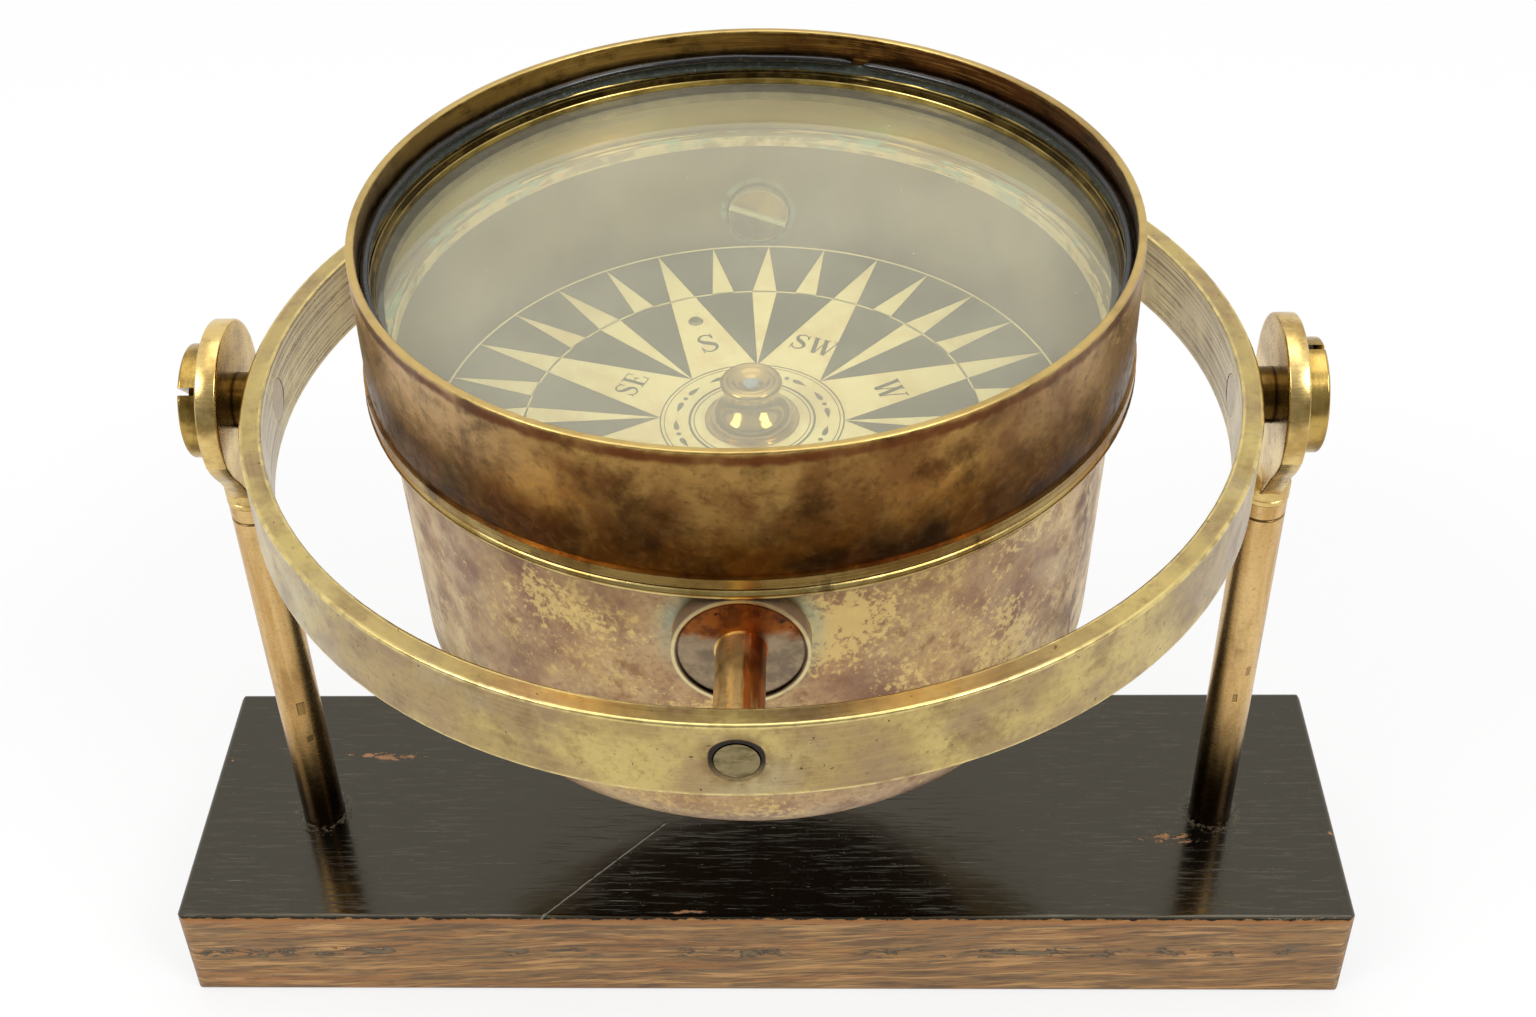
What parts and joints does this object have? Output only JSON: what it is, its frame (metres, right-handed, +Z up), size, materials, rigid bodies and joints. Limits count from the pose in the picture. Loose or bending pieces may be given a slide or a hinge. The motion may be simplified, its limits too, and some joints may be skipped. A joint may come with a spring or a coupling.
{
  "type": "magnetic compass",
  "caption": "Dry-card marine compass: a round brass bowl under glass, hung in a gimbal ring between two posts on a wooden display base.",
  "frame": {"origin": "on the table, in the middle of the base's length, straight below the crossing of the two gimbal axes", "axes": "+X along the base and the gimbal ring's axis, +Y from the front to the back, +Z up"},
  "size_m": [0.2, 0.149, 0.1437],
  "materials": {
    "black_wood": "ebonised, rubbed through at the edges",
    "rod_brass": "brushed, dulled",
    "bright_brass": "worn bright",
    "aged_brass": "aged, brushed",
    "dark_brass": "dark patina",
    "mottled_brass": "mottled patina",
    "clear_glass": "hazy, polished",
    "putty": "hard old glazing putty",
    "black_wire": "black lacquer",
    "lead": "cast, dull",
    "pivot_steel": "hardened and ground",
    "printed_card": "printed and varnished",
    "jewel_stone": "polished",
    "magnet_steel": "blued",
    "rivet_brass": "dull"
  },
  "bodies": {
    "stand": {"base": "black_wood", "left_post": "rod_brass", "right_post": "rod_brass", "left_eye": "bright_brass", "right_eye": "bright_brass"},
    "gimbal": {"gimbal_ring": "aged_brass", "left_pivot_screw": "bright_brass", "right_pivot_screw": "bright_brass"},
    "bowl": {"upper_case": "dark_brass", "seam_bead": "bright_brass", "lower_bowl": "mottled_brass", "glass_seat": "dark_brass", "glass": "clear_glass", "glass_holder": "bright_brass", "glass_putty": "putty", "split_wire": "black_wire", "front_trunnion": "mottled_brass", "rear_trunnion": "mottled_brass", "front_inner_screw": "mottled_brass", "rear_inner_screw": "mottled_brass", "ballast": "lead", "pivot_column": "rod_brass", "pivot_pin": "pivot_steel"},
    "rose": {"card": "printed_card", "card_cap": "bright_brass", "cap_jewel": "jewel_stone", "needle": "magnet_steel", "north_rivet": "rivet_brass", "south_rivet": "rivet_brass"}
  },
  "joints": [
    {"name": "ring_swing", "type": "hinge", "parent": "stand", "child": "gimbal", "pos_m": [0, 0, 0.111], "axis": [1, 0, 0], "continuous": true},
    {"name": "bowl_swing", "type": "hinge", "parent": "gimbal", "child": "bowl", "pos_m": [0, 0, 0.111], "axis": [0, 1, 0], "continuous": true},
    {"name": "card_turn", "type": "hinge", "parent": "bowl", "child": "rose", "pos_m": [0, 0, 0.111], "axis": [0, 0, 1], "continuous": true}
  ]
}
